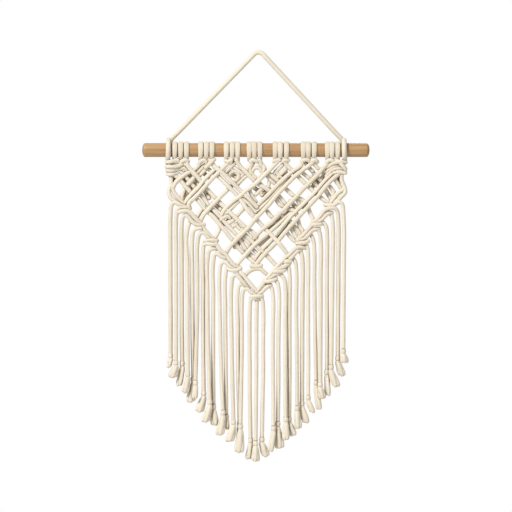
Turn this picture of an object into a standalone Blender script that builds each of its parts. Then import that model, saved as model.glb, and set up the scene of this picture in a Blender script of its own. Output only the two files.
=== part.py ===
"""A macrame wall hanging: a knotted cotton net and its fringe on a wooden dowel, hung from a nail.

Metres, +Z up, front toward -Y. The origin is where the hanger cord rests on the nail.
Sizes and table entries are in millimetres. Tables measure x from the net's middle line,
drop downward from the dowel's axis and rise toward the viewer from the net's mid plane.
"""

import math

import bmesh
import bpy
from mathutils import Vector

MM = 0.001

# Driving dimensions
CORD = 5.6
GAP = 0.3
DOWEL_DIAMETER = 16.0
DOWEL_LENGTH = 260.0
DOWEL_EASE = 1.2
HANG_DROP = 109.0
NET_X = -3.0
NET_Y = -3.0
PARTING = 0.5

# Turns of cord over the dowel, group by group: x of each turn
TURN_GROUPS = (
    (-93.5, -87.0, -80.0),
    (-63.5, -57.0, -51.5),
    (-33.5, -27.5, -21.0),
    (-8.0, -2.0, 4.0),
    (21.5, 27.5, 34.5),
    (53.0, 59.5, 66.5),
    (80.0, 86.0, 92.5),
)
TURN_WIDTH = 5.4
TURN_THICKNESS = 2.0
TURN_STEP = 30.0
GATHER_DROP = 13.0
GATHER_RADIUS = 3.4

# The net's strands: name, then (x, drop, rise) from end to end
STRANDS = (
    ("right_1", ((-80, 13, 0), (-69, 29, 2.5), (-61, 39, 0.5), (-45, 56, -1), (-34, 67, 0.5),
                 (-23, 77, 1.5), (-10, 89, 0.5), (1, 101, -1.5))),
    ("right_2", ((-94, 28, 0), (-72, 49, -0.5), (-58, 69, 0), (-34, 96, 1.5), (-16, 116, -1.5), (0, 131, 0.5))),
    ("right_3", ((-82, 29, 0), (-66, 47, -1.5), (-53, 65, -0.5), (-30, 89, -0.5), (-21, 99, -1.5),
                 (-11, 114, -2), (0, 125, -1))),
    ("right_4", ((-54, 13, 0), (-42, 24, 3.5), (-30, 35, 3.5), (-18, 47, 2), (-9, 54, 3), (1, 65, 2))),
    ("right_5", ((-18, 54, 0.5), (-11, 59, 1), (0, 71, 0.5))),
    ("right_6", ((-47, 26, -0.5), (-32, 43, 2.5), (-22, 53, 1.5), (-8, 69, 2.5), (7, 86, -0.5),
                 (26, 106, 2.5), (37, 120, 0.5))),
    ("right_7", ((-23, 13, 0), (-7, 31, 1.5), (2, 38, 0.5), (16, 46, 0), (24, 58, -1.5), (35, 66, -1.5),
                 (45, 71, -0.5), (50, 87, -1), (54, 94, -0.5), (53, 99, 0))),
    ("right_8", ((6, 14, 0), (18, 26, 0), (35, 45, -1.5), (46, 54, -1), (57, 60, -1.5), (62, 72, -1), (66, 81, 0))),
    ("right_9", ((32, 13, 0), (45, 25, 0.5), (59, 42, 0.5), (75, 55, 0), (85, 62, 0.5))),
    ("right_10", ((-23, 85, -1.5), (0, 109, 0.5), (24, 133, 0.5))),
    ("left_1", ((-64, 13, 0), (-74, 23, 0.5), (-83, 29, 1), (-95, 41, 0))),
    ("left_2", ((-51, 11, 0), (-66, 24, -1.5), (-77, 39, -1.5), (-83, 48, -1.5), (-83, 59, 0))),
    ("left_3", ((-33, 13, 0), (-40, 19, 1.5), (-57, 33, 2.5), (-73, 51, 2.5), (-81, 61, 0.5))),
    ("left_4", ((-40, 24, 0), (-51, 33, 3), (-67, 50, 3.5), (-78, 61, 1.5))),
    ("left_5", ((-8, 14, 0), (-25, 37, -1.5), (-33, 43, 0), (-40, 50, 2.5), (-57, 70, 2), (-64, 81, 0.5))),
    ("left_6", ((26, 11, 0), (11, 26, 3.5), (-8, 43, 3), (-17, 51, 3.5), (-30, 61, 0.5), (-42, 75, -1.5),
                (-43, 90, -1), (-49, 104, 0))),
    ("left_7", ((53, 13, 0), (38, 27, 2), (16, 49, 1.5), (1, 64, 0.5))),
    ("left_8", ((38, 30, 0), (18, 54, 0.5), (0, 71, 0))),
    ("left_9", ((65, 11, 0), (47, 26, 3.5), (17, 60, 3.5), (0, 78, 3.5), (-25, 106, 3), (-34, 119, 0.5))),
    ("left_10", ((81, 13, 0), (74, 23, 2.5), (59, 41, 3), (34, 65, 2.5), (11, 87, 1.5), (-3, 102, -1.5))),
    ("left_11", ((88, 26, 0.5), (66, 50, 1), (38, 78, 0.5), (7, 114, 0), (0, 123, -0.5))),
    ("left_12", ((96, 26, 0.5), (86, 35, 3), (53, 72, 3.5), (37, 90, 3.5), (25, 104, 1.5), (11, 118, 2.5),
                 (0, 131, 1.5))),
    ("left_13", ((40, 72, -1.5), (23, 87, -0.5), (0, 107, 2.5), (-13, 121, 2), (-24, 134, 0.5))),
    ("left_14", ((-11, 64, -0.5), (-18, 71, -1.5), (-32, 83, -1))),
    ("left_15", ((-21, 58, 0), (-34, 70, 0))),
    ("left_16", ((-59, 64, -0.5), (-64, 71, -1.5), (-69, 79, -0.5))),
    ("middle_left", ((-6, 13, 0), (-10, 19, 0), (-8, 26, 0), (0, 33, 0))),
    ("middle_right", ((3, 13, 0), (10, 19, 0.5), (8, 26, 0), (-1, 35, 0))),
    ("middle_arch", ((-8, 24, 0), (-3, 18, 0.5), (5, 18, 0.5), (9, 23, 0))),
    ("edge_left_1", ((-101, 17.5, 1), (-95, 17, 1.5), (-88, 18, 0.5), (-82, 21, 0))),
    ("edge_left_2", ((-101, 22, 1.5), (-94, 21, 2), (-86, 18, 2), (-79, 13, 0))),
    ("edge_left_3", ((-101, 26, 1), (-88, 21, 1), (-80, 25, 0))),
    ("edge_left_4", ((-100, 29, 0.5), (-95, 27, 0.5), (-86, 33, 0))),
    ("edge_left_5", ((-99, 29, 0), (-98, 35, -0.5), (-99, 42, 0))),
    ("edge_left_6", ((-98, 39, 0), (-96, 46, 1), (-89, 54, 1), (-80, 62, 0.5))),
    ("edge_left_7", ((-101, 45, 0), (-99, 49, 1.5), (-93, 57, 1.5), (-82, 64, 1))),
    ("edge_right_1", ((100, 17.5, 0.5), (91, 18, 1.5), (82, 24, 0.5))),
    ("edge_right_2", ((101, 21, 1), (94, 21, 1.5), (87, 23, 1.5), (81, 30, 0))),
    ("edge_right_3", ((102, 26, 1.5), (95, 25, 2), (88, 26, 1))),
    ("edge_right_4", ((98, 25, 0), (98, 34, -0.5), (101, 42, 0))),
    ("edge_right_5", ((90, 32, 0), (95, 39, -1), (94, 46, -1), (86, 58, 0))),
    ("edge_right_6", ((99, 39, 0.5), (101, 43, 0.5), (94, 49, 1), (85, 61, 0.5))),
    ("edge_right_7", ((101, 42, 0.5), (102, 48, 1.5), (97, 54, 1.5), (89, 61, 1))),
    ("edge_right_8", ((85, 42, -1), (89, 49, -1.5), (87, 57, -1))),
    ("bar", ((-8, 132, 2), (1, 133, 2.5), (10, 132, 2))),
    ("bar_arch", ((-15, 147, 0), (-8, 139, 1), (-2, 136, 1.5), (5, 136, 1.5), (10, 140, 1), (16, 146, 0))),
    ("link_1", ((14, 29, -1), (24, 41, -1))),
    ("link_3", ((64, 13, 0), (75, 24, -0.5), (81, 29, 0))),
    ("link_4", ((50, 23, -1.5), (70, 41, -1.5))),
    ("link_9", ((35, 94, -0.5), (48, 106, 0))),
    ("link_17", ((-26, 15, 0), (-33, 22, 1.5), (-38, 26, 0))),
    ("border_left", ((-85, 63, 0.5), (-75, 70, 1.5), (-61, 87, 2), (-48, 105, 2), (-31, 125, 2), (-15, 143, 2),
                     (1, 161, 2))),
    ("border_right", ((89, 63, 1), (79, 67, 1.5), (63, 83, 2), (54, 96, 2), (37, 120, 2), (15, 144, 2),
                      (1, 161, 2))),
)

# Wrapped knots along the border: x, drop, slope of the wraps
BORDER_KNOTS = (
    (-79, 63, 0.15),
    (-61, 86, 0.1),
    (-48, 104, 0.15),
    (-34, 119, 0.3),
    (-23, 133, 0.25),
    (-11, 148, 0.4),
    (14, 147, -0.4),
    (25, 135, -0.4),
    (37, 121, -0.3),
    (53, 103, -0.1),
    (68, 83, -0.15),
    (85, 64, 0),
)
KNOT_HALF_LENGTH = 6.5
KNOT_RADIUS = 3.4

# Where the border parts the net from its fringe strips: (x, drop) from left to right
PARTING_LINE = (
    (-121, 58), (-98, 59), (-80, 67), (-67, 82), (-53, 103), (-47, 110), (-31, 129), (-15, 148), (1, 165),
    (24, 139), (37, 126), (47, 113), (63, 89), (72, 79), (80, 70), (89, 65), (102, 57), (121, 55),
)
FAR = 400.0


# The fringe: x at the top, x and drop of the tie, x and drop of the end, half width of the loose end
LEFT_FRINGE = (
    (-98, -98, 234, -100, 250, 3.4),
    (-91.5, -92, 245, -95, 262, 3.6),
    (-84.5, -84.5, 244, -88, 272, 3.8),
    (-79.5, -78, 256, -82, 279, 4.2),
    (-73.5, -72.5, 262, -75, 291, 4),
    (-67.5, -68, 265, -69, 288, 3),
    (-61, -60.5, 278, -64.5, 300, 4.5),
    (-56, -53.5, 288, -57, 312, 4.2),
    (-49, -48.5, 292, -47.5, 317, 4.2),
    (-42.5, -39.5, 302, -42, 327, 3.6),
    (-36.5, -33.5, 304, -35.5, 324, 3.6),
    (-28, -26, 311, -30.5, 335, 4.4),
    (-22.5, -21, 313, -23.5, 332, 2.8),
    (-16.5, -15.5, 320, -19, 347, 4.6),
)
TIP_FRINGE = (
    (-7.5, -6.5, 333, -8.5, 355, 4.4),
    (0.5, 0, 334, -0.5, 358, 4.4),
    (8.5, 7, 331, 11, 353, 4.6),
)
RIGHT_FRINGE = (
    (19.5, 19.5, 318, 15.5, 348, 3),
    (26.5, 25, 313, 25, 343, 5),
    (33, 33, 308, 34.5, 334, 4),
    (39.5, 38.5, 307, 41.5, 330, 4),
    (47, 47.5, 295, 47.5, 321, 3.6),
    (55, 53, 290, 55, 315, 4),
    (60, 59.5, 283, 63.5, 303, 4),
    (67, 68, 270, 72, 299, 3.4),
    (73.5, 73.5, 267, 75.5, 287, 3.6),
    (81, 80.5, 252, 83, 283, 3.2),
    (87, 86.5, 247, 90, 272, 4.4),
    (94.5, 94, 242, 98.5, 260, 3.6),
    (99.5, 100, 229, 101.5, 245, 3.6),
)
FRINGE_SIDES = 4
# Wraps of the knot under the border's point: half length, drop, radius
TIP_X = 1.5
TIP_WRAPS = ((7.5, 164.5, 3.4), (5.5, 170, 3))
FRINGE_HALF = 2.3
FRINGE_STAGGER = 2.6
TIE_HALF = 2.7
STRIP_INSET = 3.6
ARCH_REACH = 9.0

# The hanger cord: its turn round the dowel and its route up to the nail
TURN_RADIUS = 11.4
CORD_STEP = 24.0
PEAK_RADIUS = 7.0
PEAK_HEIGHT = 2.8
# Angle from the dowel's top towards the front, and x
LEFT_LOOP = ((-30, -99.6), (0, -99.8), (90, -100), (180, -100.6), (276, -101.2))
RIGHT_LOOP = ((-30, 100.6), (0, 100.8), (90, 101), (180, 101.6), (276, 102.2))


def place(x, drop, rise):
    """A point of the net, in millimetres from the nail."""
    return Vector((NET_X + x, NET_Y - rise, -HANG_DROP - drop))


def new_mesh_object(name, bm):
    bmesh.ops.recalc_face_normals(bm, faces=bm.faces)
    mesh = bpy.data.meshes.new(name)
    bm.to_mesh(mesh)
    bm.free()
    obj = bpy.data.objects.new(name, mesh)
    bpy.context.collection.objects.link(obj)
    return obj


def add_sweep(bm, centres, sizes, sides, fronts=None):
    """Adds a closed tube through centres. sizes holds each ring's half width and half depth."""
    count = len(centres)
    rings = []
    for i, centre in enumerate(centres):
        before = centres[max(i - 1, 0)]
        after = centres[min(i + 1, count - 1)]
        along = (after - before).normalized()
        front = fronts[i] if fronts else Vector((0, -1, 0))
        side = along.cross(front).normalized()
        depth = side.cross(along).normalized()
        half_width, half_depth = sizes[i]
        ring = []
        for k in range(sides):
            angle = 2 * math.pi * (k + 0.5) / sides
            offset = side * half_width * math.cos(angle) + depth * half_depth * math.sin(angle)
            ring.append(bm.verts.new((centre + offset) * MM))
        rings.append(ring)
    for first, second in zip(rings, rings[1:]):
        for k in range(sides):
            bm.faces.new((first[k], first[(k + 1) % sides], second[(k + 1) % sides], second[k]))
    bm.faces.new(rings[0])
    bm.faces.new(rings[-1])


def add_strand(bm, points, half=CORD / 2, sides=6):
    """Adds a strand of the net through (x, drop, rise) points."""
    add_sweep(bm, [place(*point) for point in points], [(half, half)] * len(points), sides)


def with_boolean(obj, other, operation, use_self=False):
    """Applies a Boolean to obj and removes the other object."""
    modifier = obj.modifiers.new(operation, "BOOLEAN")
    modifier.operation = operation
    modifier.object = other
    modifier.use_self = use_self
    graph = bpy.context.evaluated_depsgraph_get()
    mesh = bpy.data.meshes.new_from_object(obj.evaluated_get(graph))
    obj.modifiers.clear()
    obj.data = mesh
    mesh.name = obj.name
    bpy.data.objects.remove(other)


def parting_drop(x):
    """Drop of the parting line at x."""
    for (x0, drop0), (x1, drop1) in zip(PARTING_LINE, PARTING_LINE[1:]):
        if x <= x1:
            return drop0 + (drop1 - drop0) * (x - x0) / (x1 - x0)
    return PARTING_LINE[-1][1]


def parting_block(below):
    """A block that covers all that lies below the parting line, or all above it."""
    shift = -PARTING / 2 if below else PARTING / 2
    outer_drop = FAR if below else -FAR / 4
    outline = [(x, drop + shift) for x, drop in PARTING_LINE]
    outline += [(PARTING_LINE[-1][0], outer_drop), (PARTING_LINE[0][0], outer_drop)]
    bm = bmesh.new()
    front = [bm.verts.new(place(x, drop, 30) * MM) for x, drop in outline]
    face = bm.faces.new(front)
    back = bmesh.ops.extrude_face_region(bm, geom=[face])
    verts = [item for item in back["geom"] if isinstance(item, bmesh.types.BMVert)]
    bmesh.ops.translate(bm, verts=verts, vec=(0, 60 * MM, 0))
    return new_mesh_object("parting_block", bm)


def add_turn(bm, x):
    """Adds one turn of cord over the dowel, from the gather in front to the gather behind."""
    inner = (DOWEL_DIAMETER / 2 + GAP) / math.cos(math.radians(TURN_STEP / 2))
    radius = inner + TURN_THICKNESS / 2
    centres = []
    fronts = []
    sizes = []
    half = TURN_WIDTH / 2 / math.cos(math.pi / 4)
    thin = TURN_THICKNESS / 2 / math.cos(math.pi / 4)
    legs = ((GATHER_DROP, -2.5, 2.4), (10.0, -6.0, 2.4), (5.0, -8.9, 1.8))
    for drop, y, thick in legs:
        centres.append(Vector((NET_X + x, y, -HANG_DROP - drop)))
        fronts.append(Vector((0, -1, 0)))
        sizes.append((half, thick))
    for step in range(7):
        angle = math.radians(90 - step * TURN_STEP)
        outward = Vector((0, -math.sin(angle), math.cos(angle)))
        centres.append(Vector((NET_X + x, 0, -HANG_DROP)) + outward * radius)
        fronts.append(outward)
        sizes.append((half, thin))
    for drop, y, thick in reversed(legs):
        centres.append(Vector((NET_X + x, -y, -HANG_DROP - drop)))
        fronts.append(Vector((0, 1, 0)))
        sizes.append((half, thick))
    add_sweep(bm, centres, sizes, 4, fronts)


def make_net():
    bm = bmesh.new()
    for group in TURN_GROUPS:
        for x in group:
            add_turn(bm, x)
        first, last = group[0] - 1.5, group[-1] + 1.5
        add_sweep(bm, [place(first, GATHER_DROP + 1, -1), place(last, GATHER_DROP + 1, -1)],
                  [(GATHER_RADIUS, GATHER_RADIUS)] * 2, 6)
    for name, points in STRANDS:
        add_strand(bm, points)
    for x, drop, slope in BORDER_KNOTS:
        ends = [(x + reach, drop + slope * reach, 2.8) for reach in (-KNOT_HALF_LENGTH, KNOT_HALF_LENGTH)]
        add_strand(bm, ends, half=KNOT_RADIUS)
    net = new_mesh_object("net_panel", bm)
    with_boolean(net, parting_block(below=True), "DIFFERENCE", use_self=True)
    return net


def fringe_points(row, stagger, side, inner):
    """Centres and sizes of one fringe strand; side is 1 where its root leans right, -1 left, 0 under the tip."""
    top_x, tie_x, tie_drop, end_x, end_drop, loose = row
    half = FRINGE_HALF / math.cos(math.pi / 4)
    points = []
    if side:
        for reach, below in ((ARCH_REACH, 3.4), (4.5, 3.8), (1.0, 7.0)):
            x = top_x + side * min(reach, abs(top_x - inner) - 1)
            points.append(((x, parting_drop(x) + below, 1.0), half, half))
        start = parting_drop(top_x) + 14
    else:
        points.append(((TIP_X + 0.4 * (top_x - TIP_X), 169, 1.0), half, half))
        start = 180
    points.append(((top_x, start, 0.5), half, half))
    points.append(((top_x, (start + tie_drop) / 2, 0.3 * stagger), half, half))
    points.append(((tie_x, tie_drop - 5, stagger), half, half))
    tie = TIE_HALF / math.cos(math.pi / 4)
    points.append(((tie_x, tie_drop - 1.5, stagger), tie, tie))
    points.append(((tie_x, tie_drop + 1.5, stagger), tie, tie))
    wide = loose / math.cos(math.pi / 4)
    middle = tie_drop + 0.6 * (end_drop - tie_drop)
    points.append((((tie_x + end_x) / 2, middle, stagger), wide * 0.9, half))
    points.append(((end_x, end_drop - 2, stagger), wide, half))
    points.append(((end_x, end_drop, stagger), wide * 0.7, half * 0.7))
    return points


def add_fringe(bm, rows, side, inner=0):
    for index, row in enumerate(rows):
        forward = index % 2 == (1 if side >= 0 else 0)
        points = fringe_points(row, FRINGE_STAGGER if forward else -FRINGE_STAGGER, side, inner)
        centres = [place(*point) for point, _, _ in points]
        sizes = [(width, depth) for _, width, depth in points]
        add_sweep(bm, centres, sizes, FRINGE_SIDES)


def make_strip(name, rows, side, outer, inner):
    """A border's lower ridge with its fringe."""
    bm = bmesh.new()
    first, last = min(outer, inner), max(outer, inner)
    xs = [first] + [x for x, _ in PARTING_LINE if first < x < last] + [last]
    add_strand(bm, [(x, parting_drop(x) + STRIP_INSET, 1.5) for x in xs])
    add_fringe(bm, rows, side, inner)
    strip = new_mesh_object(name, bm)
    with_boolean(strip, parting_block(below=False), "DIFFERENCE", use_self=True)
    return strip


def make_tip():
    bm = bmesh.new()
    for reach, drop, half in TIP_WRAPS:
        add_strand(bm, ((TIP_X - reach, drop, 1.5), (TIP_X + reach, drop, 1.5)), half=half)
    add_fringe(bm, TIP_FRINGE, 0)
    tip = new_mesh_object("fringe_tip", bm)
    with_boolean(tip, parting_block(below=False), "DIFFERENCE", use_self=True)
    return tip


def make_dowel():
    bm = bmesh.new()
    half = DOWEL_LENGTH / 2
    radius = DOWEL_DIAMETER / 2
    profile = ((-half, radius - DOWEL_EASE), (-half + DOWEL_EASE, radius),
               (half - DOWEL_EASE, radius), (half, radius - DOWEL_EASE))
    sides = 24
    rings = []
    for x, ring_radius in profile:
        ring = []
        for k in range(sides):
            angle = 2 * math.pi * k / sides
            point = Vector((NET_X + x, ring_radius * math.sin(angle), -HANG_DROP + ring_radius * math.cos(angle)))
            ring.append(bm.verts.new(point * MM))
        rings.append(ring)
    for first, second in zip(rings, rings[1:]):
        for k in range(sides):
            bm.faces.new((first[k], first[(k + 1) % sides], second[(k + 1) % sides], second[k]))
    bm.faces.new(rings[0])
    bm.faces.new(rings[-1])
    return new_mesh_object("dowel", bm)


def loop_points(loop):
    """A turn of the hanger cord round the dowel, from its free end behind to where it leaves."""
    points = []
    start, finish = loop[0][0], loop[-1][0]
    steps = round((finish - start) / CORD_STEP)
    for step in range(steps + 1):
        angle = start + (finish - start) * step / steps
        for (angle0, x0), (angle1, x1) in zip(loop, loop[1:]):
            if angle <= angle1:
                x = x0 + (x1 - x0) * (angle - angle0) / (angle1 - angle0)
                break
        turn = math.radians(angle)
        points.append(Vector((NET_X + x, -TURN_RADIUS * math.sin(turn),
                              -HANG_DROP + TURN_RADIUS * math.cos(turn))))
    return points


def make_hanger():
    left = loop_points(LEFT_LOOP)
    right = loop_points(RIGHT_LOOP)
    points = list(left)
    points.append(Vector((NET_X - 96, TURN_RADIUS - 1, 13.7 - HANG_DROP)))
    for degrees in (-50, -25, 0, 25, 50):
        turn = math.radians(degrees)
        points.append(Vector((PEAK_RADIUS * math.sin(turn), 0, PEAK_HEIGHT - PEAK_RADIUS * (1 - math.cos(turn)))))
    points.append(Vector((NET_X + 97.2, TURN_RADIUS - 1, 13.7 - HANG_DROP)))
    points += reversed(right)
    curve = bpy.data.curves.new("hanger_cord", "CURVE")
    curve.dimensions = "3D"
    curve.bevel_depth = CORD / 2 * MM
    curve.bevel_resolution = 2
    curve.use_fill_caps = True
    spline = curve.splines.new("POLY")
    spline.points.add(len(points) - 1)
    for point, centre in zip(spline.points, points):
        point.co = (*(centre * MM), 1)
    obj = bpy.data.objects.new("hanger_cord", curve)
    bpy.context.collection.objects.link(obj)
    return obj


def give_material(obj, name, colour, roughness):
    material = bpy.data.materials.new(name)
    material.use_nodes = True
    shader = material.node_tree.nodes["Principled BSDF"]
    shader.inputs["Base Color"].default_value = (*colour, 1)
    shader.inputs["Roughness"].default_value = roughness
    shader.inputs["Metallic"].default_value = 0
    obj.data.materials.clear()
    obj.data.materials.append(material)


for obj in list(bpy.data.objects):
    bpy.data.objects.remove(obj)

give_material(make_dowel(), "dowel_wood", (0.50, 0.27, 0.11), 0.5)
give_material(make_net(), "net_cotton", (0.85, 0.76, 0.60), 0.9)
give_material(make_strip("fringe_left", LEFT_FRINGE, 1, -99, -9), "fringe_left_cotton", (0.84, 0.75, 0.60), 0.9)
give_material(make_strip("fringe_right", RIGHT_FRINGE, -1, 100, 11.5), "fringe_right_cotton",
              (0.84, 0.75, 0.60), 0.9)
give_material(make_tip(), "fringe_tip_cotton", (0.84, 0.75, 0.60), 0.9)
give_material(make_hanger(), "hanger_cotton", (0.86, 0.78, 0.64), 0.88)
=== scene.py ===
import itertools
import math
import random

import bmesh
import bpy
import numpy as np
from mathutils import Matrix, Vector
from mathutils.bvhtree import BVHTree


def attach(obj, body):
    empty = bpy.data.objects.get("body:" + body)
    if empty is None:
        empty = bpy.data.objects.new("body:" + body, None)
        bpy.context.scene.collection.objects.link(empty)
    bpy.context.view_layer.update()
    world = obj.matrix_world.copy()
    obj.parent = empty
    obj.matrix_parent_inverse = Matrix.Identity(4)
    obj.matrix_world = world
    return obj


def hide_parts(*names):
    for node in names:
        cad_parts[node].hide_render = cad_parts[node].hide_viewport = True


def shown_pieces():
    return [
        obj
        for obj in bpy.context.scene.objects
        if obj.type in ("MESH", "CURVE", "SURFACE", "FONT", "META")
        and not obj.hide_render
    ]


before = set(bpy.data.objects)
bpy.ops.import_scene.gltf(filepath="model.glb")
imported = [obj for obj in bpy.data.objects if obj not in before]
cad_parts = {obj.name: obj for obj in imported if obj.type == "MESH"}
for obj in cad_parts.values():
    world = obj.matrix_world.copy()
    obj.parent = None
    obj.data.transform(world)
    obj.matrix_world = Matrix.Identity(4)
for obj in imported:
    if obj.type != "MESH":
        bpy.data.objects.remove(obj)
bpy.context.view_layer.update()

# The hanging's own sizes, in millimetres. Tables give x from the net's middle line, drop down from the
# dowel's axis and rise toward the viewer from the net's mid plane.
MM = 0.001
CORD = 5.6  # the hanger's cord
DOWEL_DIAMETER = 16.0
DOWEL_LENGTH = 260.0
HANG_DROP = 109.0  # from the nail down to the dowel's axis
NET_X = -3.0  # the net's middle line, from the nail
NET_Y = -3.0  # the net's mid plane, in front of the dowel's axis
GAP = 0.3  # between the turns and the dowel

# Turns of cord over the dowel, group by group: x of each turn
TURN_GROUPS = (
    (-92.7, -85.9, -79.3), (-63, -56.5, -50.1), (-33.8, -27, -20.8), (-7.6, -1.8, 4.5),
    (22.1, 27.9, 35), (54.2, 59.9, 66.7), (81.8, 87, 93.5),
)

# The net's strands that run down to the right: (x, drop, rise) from end to end, here and below
RIGHT_STRANDS = (
    ((-79.6, 12, 3), (-77.3, 18.7, 2.5), (-73, 24, 2.2), (-68, 29.5, 2.5), (-63.9, 34.3, 1.5),
     (-60.2, 39.5, 0), (-56.3, 44.1, -0.8), (-52, 48.7, -1), (-47.4, 53.7, -1), (-42.1, 59, -0.5),
     (-37.6, 63.5, 0), (-32.4, 68.6, 0.5), (-26.1, 74.6, 1), (-21.6, 79.2, 1.2), (-16.4, 84.1, 1),
     (-10.7, 89.7, 0.5), (-5, 95.4, 0), (1.1, 101.7, -1.5)),
    ((-95.3, 27.8, 0.5), (-92, 29.6, 0.6), (-89, 31.8, 0.6), (-85.6, 35.4, 0.4), (-81.5, 40.5, 0.3),
     (-77.1, 45.3, -0.2), (-72.5, 50.5, -0.8), (-68, 55.5, -0.5), (-63.9, 60.1, 0), (-60.2, 65.1, 0),
     (-55.9, 69.9, 0), (-50.1, 74.9, 0.5), (-45.2, 80.3, 1), (-40.7, 85.7, 1.5), (-36.1, 91.2, 1.5),
     (-31.5, 96.9, 1), (-26.9, 102.6, 0.5), (-16, 116, -1.5), (-8, 123, -1), (0, 131, 0.5)),
    ((-88.4, 23.1, 0), (-83.5, 27, 0), (-78.8, 32.2, -0.6), (-74.8, 36.8, -1.2), (-71.2, 41.5, -1.4),
     (-67.3, 46.4, -1.5), (-59.9, 54.9, -1.5), (-53.2, 64, -1.2), (-46.7, 70.3, -0.5), (-41, 76.8, -0.5),
     (-34.6, 83.9, -0.3), (-29, 89.6, 0), (-24.4, 94.4, -0.5), (-20, 99.7, -1), (-10.9, 114.1, -2),
     (0, 125, -1)),
    ((-53.6, 11, 2.5), (-50.1, 15.1, 2), (-46.3, 19.9, 2.5), (-41.6, 23.5, 3.5), (-35.3, 28.9, 3.5),
     (-29.6, 34.5, 3.5), (-23.9, 40.2, 3), (-17.8, 46.3, 2), (-9, 54.3, 3), (1.1, 65, 2)),
    ((-18, 54, 0.5), (-11, 59, 1), (0, 71, 0.5)),
    ((-46.9, 26.1, -0.5), (-42.8, 30.2, 0.8), (-38.5, 34.3, 1.5), (-33.7, 39.1, 2.5), (-28.9, 44.1, 2.5),
     (-24.1, 48.9, 2), (-19.9, 53.7, 1.5), (-8.3, 69.9, 2.5), (0, 78.6, 1), (7, 86.1, -0.5), (11.6, 91, 0),
     (16.1, 95.5, 1), (21.3, 101, 1.8), (26.2, 106.2, 2.5), (31.6, 113.1, 1.8), (36.7, 120, 0.5)),
    ((-22.3, 11, 3), (-19.7, 16.2, 1.8), (-15.9, 20.6, 1.5), (-10.7, 26.1, 1.5), (-5.6, 31.2, 1.2),
     (-1, 35.7, 0.5), (2.2, 38.6, 0), (7.6, 41.6, 0.5), (12.5, 44.6, 0.2), (16.7, 48, -0.5),
     (22, 54.1, -1.5), (27, 62.1, -1.5), (35, 66.1, -1.5), (45.1, 71, -0.5), (48, 79, -1.5), (50, 87, -1),
     (54, 94.1, -0.5), (53.1, 99, 0)),
    ((4, 11.4, 3), (7, 18.1, 1), (10.9, 23.3, 0), (15, 26.7, 0.3), (19.6, 30.4, 0), (24.7, 34.7, -0.5),
     (29.3, 39.1, -1), (35, 45, -1.5), (46, 54.1, -1), (53.1, 57, -1.5), (58, 62.1, -1.5), (62, 72, -1),
     (66, 81, 0)),
    ((31.9, 11.4, 3), (35.6, 17.4, 1.5), (40.1, 22.2, 1), (44.7, 26.3, 0.5), (49.3, 31.1, 0),
     (54.1, 35.9, 0), (58.4, 40.2, 0.3), (63.2, 44.8, 0), (69.1, 50.1, -0.5), (75, 55, 0),
     (79.7, 58.5, 0.3), (85.1, 62.1, 0.5)),
    ((-23, 85, -1.5), (-11, 98, -0.5), (0, 109, 0.5), (11, 119, 0), (24, 133, 0.5)),
)

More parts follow.
